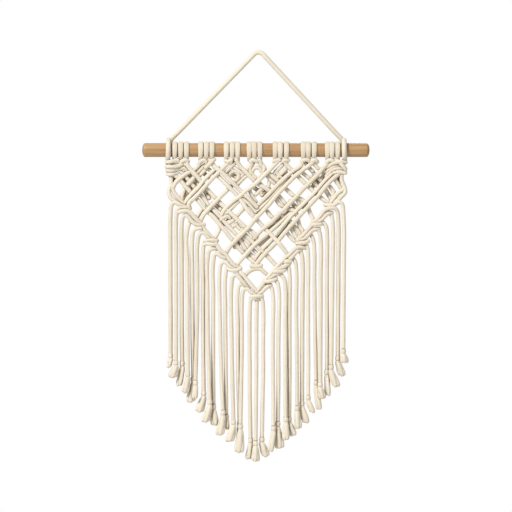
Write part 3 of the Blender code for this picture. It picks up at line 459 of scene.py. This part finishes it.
class CordMesh:
    """Collects closed tubes in one mesh, with UVs in turns and metres, and a tint for each tube."""

    # The rings that round off an end, outermost first: how far past it and how wide, in half sizes
    ROUNDING = ((0.97, 0.3), (0.72, 0.72), (0.35, 0.94))

    def __init__(self, name):
        self.name = name
        self.verts = []
        self.faces = []
        self.uvs = []
        self.tints = []
        self.count = 0

    def add(self, centres, half_width, half_depth=None, *, tint, front=(0, -1, 0), sides=14):
        """Adds a tube with rounded ends. Half sizes and fronts are one value, or one for each centre."""
        centres = np.array(centres, dtype=float)
        width = np.ones(len(centres)) * np.array(half_width, dtype=float)
        depth = width if half_depth is None else np.ones(len(centres)) * np.array(half_depth, dtype=float)
        fronts = np.ones((len(centres), 3)) * np.array(front, dtype=float)
        along = unit(np.gradient(centres, axis=0))
        reach, scale = np.array(self.ROUNDING).T
        first = centres[0] - along[0] * reach[:, None] * min(width[0], depth[0])
        last = centres[-1] + along[-1] * reach[::-1, None] * min(width[-1], depth[-1])
        centres = np.vstack((first, centres, last))
        width = np.concatenate((width[0] * scale, width, width[-1] * scale[::-1]))
        depth = np.concatenate((depth[0] * scale, depth, depth[-1] * scale[::-1]))
        ends = (len(reach), len(reach))
        along, fronts = (np.pad(rows, (ends, (0, 0)), mode="edge") for rows in (along, fronts))
        across = unit(np.cross(along, fronts))
        out = np.cross(across, along)
        angles = 2 * math.pi * np.arange(sides) / sides + math.pi / 2
        rings = (centres[:, None, :] + across[:, None, :] * (width[:, None] * np.cos(angles))[..., None]
                 - out[:, None, :] * (depth[:, None] * np.sin(angles))[..., None])
        self.join(rings, distances_along(centres) * MM, tint)

    def join(self, rings, run, tint):
        """Skins the rings of one tube and closes both of its ends."""
        count, sides = rings.shape[:2]
        base = self.count
        for i, k in itertools.product(range(count - 1), range(sides)):
            corners = ((i, k), (i, k + 1), (i + 1, k + 1), (i + 1, k))
            self.faces.append([base + ring * sides + side % sides for ring, side in corners])
            self.uvs.extend((side / sides, run[ring]) for ring, side in corners)
        for ring, turned in ((0, reversed(range(sides))), (count - 1, range(sides))):
            self.faces.append([base + ring * sides + side for side in turned])
            self.uvs.extend(((0.5, run[ring]),) * sides)
        self.verts.append(rings.reshape(-1, 3))
        self.tints.append(np.full(count * sides, tint))
        self.count += count * sides

    def make(self, material, slot, replaces=()):
        """Makes the piece, smooth shaded."""
        mesh = bpy.data.meshes.new(self.name)
        mesh.from_pydata((np.vstack(self.verts) * MM).tolist(), [], self.faces)
        layer = mesh.uv_layers.new(name="UVMap")
        layer.data.foreach_set("uv", np.array(self.uvs, dtype=np.float32).ravel())
        store_on_points(mesh, "tint", np.concatenate(self.tints).astype(np.float32))
        bm = bmesh.new()
        bm.from_mesh(mesh)
        write_outward(bm, mesh)
        mesh.polygons.foreach_set("use_smooth", [True] * len(mesh.polygons))
        return add_piece(self.name, mesh, material, replaces)


def write_outward(bm, mesh):
    """Writes a closed shape to the mesh, with its faces turned outward."""
    bmesh.ops.recalc_face_normals(bm, faces=bm.faces)
    bm.to_mesh(mesh)
    bm.free()


def add_piece(name, mesh, material, replaces=()):
    """Makes a piece that rides on the part's one body."""
    mesh.materials.append(material)
    obj = bpy.data.objects.new(name, mesh)
    bpy.context.collection.objects.link(obj)
    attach(obj, "root")
    if replaces:
        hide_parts(*replaces)
    return obj


def store_on_points(mesh, name, values):
    """Stores one number on each vertex, for a material to read."""
    layer = mesh.attributes.new(name, "FLOAT", "POINT")
    layer.data.foreach_set("value", values)


CREASE_REACH = 6.5 * MM
CREASE_LIFT = 0.25 * MM
CREASE_RAYS = 10


def ray_fan():
    """Directions spread over the half space above a surface, as flat light falls on it."""
    golden = math.pi * (3 - math.sqrt(5))
    fan = []
    for k in range(CREASE_RAYS):
        height = math.sqrt((k + 0.5) / CREASE_RAYS)
        ring = math.sqrt(1 - height * height)
        fan.append(Vector((ring * math.cos(golden * k), ring * math.sin(golden * k), height)))
    return fan


def shade_creases(objects):
    """Stores on each vertex how closely cords crowd round it, from 0 in the open to 1 in a crease: how much
    painted shade the cotton gets there.
    """
    verts = []
    polygons = []
    for obj in objects:
        start = len(verts)
        verts += [tuple(vert.co) for vert in obj.data.vertices]
        polygons += [tuple(start + index for index in face.vertices) for face in obj.data.polygons]
    tree = BVHTree.FromPolygons(verts, polygons)
    fan = ray_fan()
    for obj in objects:
        creases = np.zeros(len(obj.data.vertices), dtype=np.float32)
        for vert in obj.data.vertices:
            turn = vert.normal.to_track_quat("Z", "Y")
            start = vert.co + vert.normal * CREASE_LIFT
            total = 0.0
            for direction in fan:
                distance = tree.ray_cast(start, turn @ direction, CREASE_REACH)[3]
                if distance is not None:
                    total += 1 - distance / CREASE_REACH
            creases[vert.index] = total / CREASE_RAYS
        store_on_points(obj.data, "crease", creases)


# Materials

CREAM = (0.84, 0.77, 0.65)
OATMEAL = (0.66, 0.57, 0.43)
# Painted shade: the brown that cotton is darkened to where cords crowd into creases
PAINTED_CREASE_SHADE = (0.30, 0.235, 0.155)
WOOD_TONES = ((0.35, (0.24, 0.118, 0.042)), (0.75, (0.43, 0.25, 0.11)), (1.0, (0.515, 0.315, 0.15)))

# Cotton: how its fibres and patches of tone are drawn and mixed
FIBRE_STRETCH = (38.0, 420.0, 1.0)
YARN_HEIGHT = 0.35
PATCH_SHARE = 0.9
FIBRE_SHARE = 0.5
TONE_GAIN = 0.6
TONE_SHIFT = -0.22

# Wood: its grain runs along the dowel, so it is stretched along x
GRAIN_STRETCH = (14.0, 420.0, 420.0)
BAND_STRETCH = (5.0, 90.0, 90.0)
BAND_SHARE = 0.8


def new_material(name, values):
    """A material, its node tree and its shader, whose sockets are set to the values."""
    material = bpy.data.materials.new(name)
    material.use_nodes = True
    tree = material.node_tree
    shader = tree.nodes["Principled BSDF"]
    for socket, value in values.items():
        shader.inputs[socket].default_value = value
    return material, tree, shader


def node(tree, kind, inputs=(), **settings):
    """Adds a shader node, sets its properties, and fills or links its inputs."""
    made = tree.nodes.new("ShaderNode" + kind)
    for name, value in settings.items():
        setattr(made, name, value)
    for key, value in inputs:
        if isinstance(value, bpy.types.NodeSocket):
            tree.links.new(value, made.inputs[key])
        else:
            made.inputs[key].default_value = value
    return made


def sums(tree, operation, *values):
    """The result of one sum on sockets and numbers."""
    return node(tree, "Math", enumerate(values), operation=operation).outputs[0]


def stretched(tree, vector, factors):
    """A place with its axes scaled, so that a texture runs longer one way."""
    return node(tree, "VectorMath", ((0, vector), (1, factors)), operation="MULTIPLY").outputs[0]


def noise(tree, vector, detail, roughness=0.5, scale=1.0):
    """Soft random tone."""
    inputs = (("Vector", vector), ("Scale", scale), ("Detail", detail), ("Roughness", roughness))
    return node(tree, "TexNoise", inputs).outputs["Fac"]


def stored(tree, name):
    """A number that was stored on the mesh's points."""
    return node(tree, "Attribute", attribute_name=name).outputs["Fac"]


def roughen(tree, shader, height, strength, distance):
    """Bumps the surface by a height."""
    bump = node(tree, "Bump", (("Strength", strength), ("Distance", distance), ("Height", height)))
    tree.links.new(bump.outputs["Normal"], shader.inputs["Normal"])


def ramp(tree, value, stops):
    """A colour ramp of (position, colour) stops."""
    made = node(tree, "ValToRGB", (("Fac", value),))
    elements = made.color_ramp.elements
    while len(elements) < len(stops):
        elements.new(0.5)
    for element, (position, colour) in zip(elements, stops):
        element.position = position
        element.color = (*colour, 1)
    return made.outputs["Color"]


def cotton(name, yarns, lay, relief):
    """Soft spun cotton: fine yarns that wind round the cord, with faint fibres, patches of tone and painted
    shade in creases.
    """
    material, tree, shader = new_material(name, {"Roughness": 0.92, "Sheen Weight": 0.25,
                                                 "Sheen Roughness": 0.6, "Specular IOR Level": 0.2})
    uv = node(tree, "UVMap", uv_map="UVMap").outputs["UV"]
    parts = node(tree, "SeparateXYZ", (("Vector", uv),))
    turns = sums(tree, "MULTIPLY", parts.outputs["X"], yarns)
    run = sums(tree, "MULTIPLY", parts.outputs["Y"], lay)
    yarn = sums(tree, "SINE", sums(tree, "MULTIPLY", sums(tree, "ADD", turns, run), 2 * math.pi))
    fibre = noise(tree, stretched(tree, uv, FIBRE_STRETCH), detail=3.0, roughness=0.6)
    spot = node(tree, "TexCoord").outputs["Object"]
    patches = noise(tree, spot, detail=4.0, roughness=0.65, scale=90.0)
    height = sums(tree, "MULTIPLY_ADD", yarn, YARN_HEIGHT, fibre)
    roughen(tree, shader, height, strength=relief, distance=0.4 * MM)
    mixed = sums(tree, "MULTIPLY_ADD", patches, PATCH_SHARE, stored(tree, "tint"))
    thread = sums(tree, "MULTIPLY_ADD", fibre, FIBRE_SHARE, mixed)
    tone = sums(tree, "MULTIPLY_ADD", thread, TONE_GAIN, TONE_SHIFT)
    colour = ramp(tree, tone, ((0.0, OATMEAL), (1.0, CREAM)))
    # Painted shade: the cotton darkens towards brown by how closely other cord crowds round each point
    crease_shade_share = node(tree, "MapRange", (("Value", stored(tree, "crease")), ("From Min", 0.1), ("From Max", 0.62)))
    crease_shaded = node(tree, "Mix", (("Factor", crease_shade_share.outputs["Result"]), ("A", colour),
                               ("B", (*PAINTED_CREASE_SHADE, 1))), data_type="RGBA")
    tree.links.new(crease_shaded.outputs["Result"], shader.inputs["Base Color"])
    return material


def wood(name):
    """Smooth tan hardwood with fine grain and broader bands along the dowel."""
    material, tree, shader = new_material(name, {"Roughness": 0.42, "Coat Weight": 0.1,
                                                 "Coat Roughness": 0.42})
    spot = node(tree, "TexCoord").outputs["Object"]
    grain = noise(tree, stretched(tree, spot, GRAIN_STRETCH), detail=6.0, roughness=0.62)
    bands = noise(tree, stretched(tree, spot, BAND_STRETCH), detail=3.0)
    tone = sums(tree, "MULTIPLY_ADD", bands, BAND_SHARE, grain)
    tree.links.new(ramp(tree, tone, WOOD_TONES), shader.inputs["Base Color"])
    roughen(tree, shader, grain, strength=0.25, distance=0.3 * MM)
    return material


SEED = 7
chance = random.Random(SEED)
net_cotton = cotton("net_cotton_soft", yarns=9, lay=70.0, relief=0.5)
fringe_cotton = cotton("fringe_cotton_soft", yarns=7, lay=24.0, relief=0.5)
lock_cotton = cotton("lock_cotton_soft", yarns=7, lay=6.0, relief=0.35)
hanger_cotton = cotton("hanger_cotton_soft", yarns=8, lay=20.0, relief=0.25)
dowel_wood = wood("dowel_hardwood")


# The dowel

DOWEL_SIDES = 96
ROD_STEPS = 40
DOME = 3.4  # how far the ends swell out
DOME_STEPS = 12
UNEVENNESS = 0.004  # against the radius
UNEVEN_RUN = 40


def dowel_profile():
    """(x, radius) from end to end of the rod, whose ends are sanded to a low dome."""
    radius = DOWEL_DIAMETER / 2
    half = DOWEL_LENGTH / 2
    dome = []
    for step in range(1, DOME_STEPS + 1):
        turn = math.radians(90 * step / DOME_STEPS)
        dome.append((-half + DOME * (1 - math.cos(turn)), radius * math.sin(turn)))
    rod = [(-half + DOME + (DOWEL_LENGTH - 2 * DOME) * step / ROD_STEPS, radius)
           for step in range(1, ROD_STEPS)]
    return dome + rod + [(-x, r) for x, r in reversed(dome)]


def make_dowel():
    """The rod, turned from its profile and very slightly out of round."""
    bm = bmesh.new()
    rings = []
    for x, radius in dowel_profile():
        ring = []
        for k in range(DOWEL_SIDES):
            angle = 2 * math.pi * k / DOWEL_SIDES
            out = radius * (1 + UNEVENNESS * math.sin(2 * angle + x / UNEVEN_RUN))
            spot = Vector((NET_X + x, out * math.sin(angle), -HANG_DROP + out * math.cos(angle)))
            ring.append(bm.verts.new(spot * MM))
        rings.append(ring)
    for one, two in zip(rings, rings[1:]):
        for k in range(DOWEL_SIDES):
            after = (k + 1) % DOWEL_SIDES
            bm.faces.new((one[k], one[after], two[after], two[k]))
    bm.faces.new(rings[0])
    bm.faces.new(rings[-1])
    mesh = bpy.data.meshes.new("dowel_turned")
    write_outward(bm, mesh)
    mesh.polygons.foreach_set("use_smooth", [len(face.vertices) == 4 for face in mesh.polygons])
    add_piece("dowel_turned", mesh, dowel_wood, ("dowel",))


# The turns over the dowel

TURN_HALF = 3.0
TURN_DEPTH = 0.8
TURN_LEAN = 0.5
# The pressed stretch: its stops, in degrees from the top towards the back
TURN_ANGLES = range(-84, 85, 14)
# Each end's stops up from the net: share of the lean, drop, distance from the axis, half width, half depth
TURN_ENDS = ((1.0, 11.5, 3.0, 2.4, 2.3), (0.6, 9.0, 6.0, 2.6, 2.0), (0.3, 5.0, 8.6, 2.7, 1.2))


def add_turn(cords, x):
    """One turn of cord, pressed flat over the dowel, from the gather in front to the gather behind."""
    lean = chance.uniform(-TURN_LEAN, TURN_LEAN)
    radius = DOWEL_DIAMETER / 2 + GAP + TURN_DEPTH
    front = [((NET_X + (x + share * lean), -away, -HANG_DROP - drop), (0, -1, 0), half, depth)
             for share, drop, away, half, depth in TURN_ENDS]
    over = []
    for degrees in TURN_ANGLES:
        out = (0.0, math.sin(math.radians(degrees)), math.cos(math.radians(degrees)))
        spot = (NET_X + x, out[1] * radius, -HANG_DROP + out[2] * radius)
        over.append((spot, out, TURN_HALF, TURN_DEPTH))
    behind = [((px, -py, pz), (0, 1, 0), half, depth) for (px, py, pz), _, half, depth in reversed(front)]
    path, fronts, widths, depths = (np.array(values) for values in zip(*front, *over, *behind))
    smooth, distances = smooth_path(path, step=1.0)
    stops = distances_along(path)
    fine_fronts = np.stack([np.interp(distances, stops, fronts[:, axis]) for axis in range(3)], 1)
    # The turns take a darker tint than the net's strands, as painted shade
    cords.add(smooth, np.interp(distances, stops, widths), np.interp(distances, stops, depths),
              front=unit(fine_fronts), sides=16, tint=chance.uniform(0.0, 0.45))


# The net

NET_HALF = 2.55
NET_FLATNESS = 0.96
LINK_HALF = NET_HALF - 0.2
STRAND_TINTS = (0.3, 0.8)
# The cords behind the gaps are painted shade: darkly tinted and set deep behind the net
BACK_HALF = 2.7
BACK_SHADE_TINT = 0.1
BACK_RISES = (-2, -5, -2)


def add_strand(cords, points, half, one_tint=None):
    """One strand of the net, of a tint of its own unless one is given."""
    path, distances = smooth_path([place(*point) for point in points], step=1.2)
    swell = swelling(distances, amount=0.03, run=3.7)
    own_tint = chance.uniform(*STRAND_TINTS)
    cords.add(path, half * swell, NET_FLATNESS * half * swell,
              tint=own_tint if one_tint is None else one_tint)


def add_net(cords):
    """Every strand of the net, table by table, in the order in which they are laid."""
    for table in (RIGHT_STRANDS, LEFT_STRANDS, LINKS, MIDDLE_LOOP, EDGES, LATER_LINKS, GATHERS):
        for points in table:
            add_strand(cords, points, LINK_HALF if table in (LINKS, LATER_LINKS) else NET_HALF)
    # Painted shade: dark cords behind the net's gaps
    for points in BACK_SHADE_CORDS:
        dipped = [(x, drop, rise) for (x, drop), rise in zip(points, BACK_RISES)]
        add_strand(cords, dipped, BACK_HALF, BACK_SHADE_TINT)
    for points in BORDER:
        add_strand(cords, points, NET_HALF)


# The fringe

FRINGE_HALF = 2.45
FRINGE_FLATNESS = 0.97
FRINGE_STAGGER = 2.6  # every other strand hangs this far forward, and the rest as far back
FRINGE_SWAY = 0.2
FRINGE_SIZES = (0.94, 1.04)
SWAY_PARTS = (0.25, 0.5, 0.75)

TIE_HALF = 3.05
TIE_DEPTH = 2.75
TIE_RINGS = 6
TIE_TOP = 1.0  # above the tie's own drop
TIE_RING_STEP = 0.4

LOCK_SWELL = 1.1  # against the half widths in the tables
LOCK_DEPTH = 2.6
LOCK_LIFT = 1.5  # how far under its tie a loose end starts, and above the tables' end it is drawn
LOBE_SIZES = {2: 0.76, 3: 0.64}  # by the number of lobes, against the whole loose end
LOBE_FORWARD = (-0.2, 0.7, -0.2)
LOBE_SPAN = 1.12
LOBE_SHIFT = 0.25
LOBE_SHORTER = 1.4  # at most, at random
OUTER_SHORTER = 0.9
TIP_LIFT = 0.4  # against its half width: the rounding goes on past the tip
# A lobe's route: its share of the way from tie to tip, then how far aside (against the lobe's own side),
# forward (against its own) and up
LOBE_ROUTE = (((0, 0, 0), (0.4, 0, 0.4)), ((0, 0, 0), (0.8, 0.3, -2.6)), ((0.38, 0.5, 0.5), (0.3, 1, 0)))
# How wide it is: the share of its length, the share of its full half width there and what is added
LOBE_WIDTHS = ((0, 0, 1.7), (0.1, 0, 1.9), (0.32, 0.6, 0.9), (0.62, 1, 0), (0.86, 1, 0), (1, 0.82, 0))


def add_lock(locks, tie, end, loose, lobes):
    """The loose end below a tie: two or three soft lobes, one over another, rounded at the bottom."""
    full = loose * LOBE_SIZES[lobes]
    for side, forward in zip(np.linspace(-1, 1, lobes), LOBE_FORWARD):
        spread = side * (LOBE_SPAN * loose - full) + chance.uniform(-LOBE_SHIFT, LOBE_SHIFT)
        shorter = chance.uniform(0.0, LOBE_SHORTER) + OUTER_SHORTER * abs(side)
        tip = end + np.array((spread, -forward, shorter + TIP_LIFT * full))
        points = [tie + (tip - tie) * shares + (side * aside, -forward * ahead, up)
                  for shares, (aside, ahead, up) in LOBE_ROUTE]
        path, distances = smooth_path([*points, tip], step=0.8)
        stops = [(at, share * full + added) for at, share, added in LOBE_WIDTHS]
        size = np.interp(distances / distances[-1], *zip(*stops))
        locks.add(path, size, np.minimum(size, LOCK_DEPTH), sides=18, tint=chance.uniform(0.4, 0.85))


def add_fringe(name, rows, roots, first_forward):
    """One fringe in three meshes: its strands, the ties round them and the loose ends below."""
    strands, ties, locks = (CordMesh(name + part) for part in ("_strands", "_ties", "_locks"))
    for index, (row, root) in enumerate(zip(rows, roots)):
        top_x, tie_x, tie_drop, end_x, end_drop, loose, lobes = row
        forward = (index % 2 == 0) == first_forward
        stagger = FRINGE_STAGGER if forward else -FRINGE_STAGGER
        points = list(root)
        start = root[-1][1]
        for part in SWAY_PARTS:
            x = top_x + (tie_x - top_x) * part**2 + chance.uniform(-FRINGE_SWAY, FRINGE_SWAY)
            points.append((x, start + (tie_drop - start) * part, stagger * part))
        points.append((tie_x, tie_drop, stagger))
        path, distances = smooth_path([place(*point) for point in points], step=2.0)
        swell = swelling(distances, amount=0.025, run=9)
        tint = chance.uniform(*STRAND_TINTS)
        half = FRINGE_HALF * chance.uniform(*FRINGE_SIZES)
        strands.add(path, half * swell, np.minimum(half, FRINGE_HALF) * FRINGE_FLATNESS, tint=tint)
        tie = place(tie_x, tie_drop, stagger)
        collar = [tie + np.array((0.0, 0.0, TIE_TOP - TIE_RING_STEP * k)) for k in range(TIE_RINGS)]
        ties.add(collar, TIE_HALF, TIE_DEPTH, sides=18, tint=chance.uniform(0.5, 0.9))
        end = place(end_x, end_drop - LOCK_LIFT, stagger)
        add_lock(locks, tie + np.array((0.0, 0.0, -LOCK_LIFT)), end, LOCK_SWELL * loose, lobes)
    return strands, ties, locks


# The hanger cord

LOOP_RADIUS = 11.4
LOOP_STEP = 6.0  # in degrees
PEAK_RADIUS = 7.0
PEAK_HEIGHT = CORD / 2
PEAK_DEGREES = 50  # how far the bend over the nail turns to each side
PEAK_STEP = 10
LEG_SPANS = 14
FOOT_HEIGHT = 12.5  # above the dowel's axis
LEFT_FOOT = -97
RIGHT_FOOT = 98.2


def loop_points(loop):
    """A turn round the dowel, from the cord's free end behind to where it leaves."""
    start, finish = loop[0][0], loop[-1][0]
    angles = np.linspace(start, finish, int(round((finish - start) / LOOP_STEP)) + 1)
    xs = np.interp(angles, *zip(*loop))
    turn = np.radians(angles)
    return np.stack((NET_X + xs, -LOOP_RADIUS * np.sin(turn), -HANG_DROP + LOOP_RADIUS * np.cos(turn)), 1)


def peak_point(degrees):
    """A point of the bend over the nail, by its angle from the top."""
    turn = math.radians(degrees)
    return (PEAK_RADIUS * math.sin(turn), 0.0, PEAK_HEIGHT - PEAK_RADIUS * (1 - math.cos(turn)))


def leg_points(foot_x, degrees):
    """One leg, from where it leaves the dowel up to, but not at, the bend over the nail."""
    foot = np.array((NET_X + foot_x, LOOP_RADIUS - 1, FOOT_HEIGHT - HANG_DROP))
    top = np.array(peak_point(degrees))
    return [foot + (top - foot) * k / LEG_SPANS for k in range(LEG_SPANS)]


def make_hanger():
    """The cord from its free end at the left of the dowel, over the nail, to its free end at the right."""
    route = [*loop_points(LEFT_LOOP), *leg_points(LEFT_FOOT, -PEAK_DEGREES)]
    route += [peak_point(degrees) for degrees in range(-PEAK_DEGREES, PEAK_DEGREES + 1, PEAK_STEP)]
    route += [*leg_points(RIGHT_FOOT, PEAK_DEGREES)[::-1], *loop_points(RIGHT_LOOP)[::-1]]
    path, distances = smooth_path(route, step=1.5)
    # The cord faces the viewer, and round the dowel it faces out from the axis
    fronts = np.zeros_like(path)
    fronts[:, 1] = -1.0
    near_dowel = np.hypot(path[:, 1], path[:, 2] + HANG_DROP) < LOOP_RADIUS + 1
    fronts[near_dowel] = unit(path[near_dowel] * (0, 1, 1) + (0, 0, HANG_DROP))
    hanger = CordMesh("hanger_strand")
    hanger.add(path, CORD / 2, front=fronts, sides=20, tint=0.6)
    obj = hanger.make(hanger_cotton, "hanger_cotton", ("hanger_cord",))
    line = path * MM
    tuple(line[0])
    [tuple(point) for point in line]


# The hanging, put together

turns = CordMesh("dowel_turns")
for x in itertools.chain(*TURN_GROUPS):
    add_turn(turns, x)
net = CordMesh("net_cords")
add_net(net)

make_dowel()
turns.make(net_cotton, "net_cotton")
net.make(net_cotton, "net_cotton", ("net_panel",))

for name, rows, roots, first_forward in (("fringe_left", LEFT_FRINGE, LEFT_ROOTS, False),
                                         ("fringe_right", RIGHT_FRINGE, RIGHT_ROOTS, True),
                                         ("fringe_tip", TIP_FRINGE, TIP_ROOTS, False)):
    strands, ties, locks = add_fringe(name, rows, roots, first_forward)
    strands.make(fringe_cotton, name + "_cotton", (name,))
    ties.make(fringe_cotton, name + "_cotton")
    locks.make(lock_cotton, name + "_cotton")

make_hanger()
shade_creases([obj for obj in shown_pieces() if obj.type == "MESH" and "tint" in obj.data.attributes])


# Floor, light and camera, in metres

FLOOR_HEIGHT = -1.5
FLOOR_HALF = 3.0

# Each lamp: its place, width and power in watts
LAMPS = (
    ("key", (-2.0, -2.6, 2.2), 1.2, 160),
    ("fill", (1.8, -2.4, 0.2), 1.6, 12),
    ("back", (0.6, 2.2, 1.0), 1.4, 14),
)
LAMPS_AIM = (-0.003, 0.0, -0.23)

# The photo's frame: pixels a side, the column of the nail and the row of the dowel's axis
PHOTO_SIDE = 512
NAIL_COLUMN = 258.5
DOWEL_ROW = 150
PIXEL = 8 / 7 * MM
CAMERA_DISTANCE = 6.0


def make_floor():
    """A plain pale floor, well below the hanging."""
    mesh = bpy.data.meshes.new("floor")
    corners = ((-1, -1), (1, -1), (1, 1), (-1, 1))
    spots = [(FLOOR_HALF * x, FLOOR_HALF * y, FLOOR_HEIGHT) for x, y in corners]
    mesh.from_pydata(spots, [], [(0, 1, 2, 3)])
    mesh.materials.append(new_material("floor_pale", {"Roughness": 0.8,
                                                      "Base Color": (0.86, 0.86, 0.85, 1)})[0])
    obj = bpy.data.objects.new("floor", mesh)
    bpy.context.collection.objects.link(obj)


def add_lamp(name, location, width, power):
    """A soft round lamp that faces the middle of the hanging."""
    light = bpy.data.lights.new(name, "AREA")
    light.shape = "DISK"
    light.size = width
    light.energy = power
    obj = bpy.data.objects.new(name, light)
    obj.location = location
    obj.rotation_euler = (Vector(LAMPS_AIM) - Vector(location)).to_track_quat("-Z", "Y").to_euler()
    bpy.context.collection.objects.link(obj)


def make_world():
    """Soft light from all round, with pure white behind the hanging."""
    world = bpy.data.worlds.new("studio")
    bpy.context.scene.world = world
    world.use_nodes = True
    tree = world.node_tree
    shade = tree.nodes["Background"]
    shade.inputs["Color"].default_value = (1.0, 0.99, 0.97, 1)
    shade.inputs["Strength"].default_value = 0.34
    white = node(tree, "Background", (("Color", (1, 1, 1, 1)), ("Strength", 1.0)))
    rays = node(tree, "LightPath")
    mix = node(tree, "MixShader", ((0, rays.outputs["Is Camera Ray"]), (1, shade.outputs[0]),
                                   (2, white.outputs[0])))
    tree.links.new(mix.outputs[0], tree.nodes["World Output"].inputs["Surface"])


def make_camera():
    """The photo's view, straight on from far away."""
    data = bpy.data.cameras.new("camera")
    data.lens = data.sensor_width * CAMERA_DISTANCE / (PHOTO_SIDE * PIXEL)
    camera = bpy.data.objects.new("camera", data)
    camera.location = ((PHOTO_SIDE / 2 - NAIL_COLUMN) * PIXEL, NET_Y * MM - CAMERA_DISTANCE,
                       -HANG_DROP * MM - (PHOTO_SIDE / 2 - DOWEL_ROW) * PIXEL)
    camera.rotation_euler = (math.pi / 2, 0, 0)
    bpy.context.collection.objects.link(camera)
    scene = bpy.context.scene
    scene.camera = camera
    scene.view_settings.view_transform = "Standard"


make_floor()
for lamp in LAMPS:
    add_lamp(*lamp)
make_world()
make_camera()
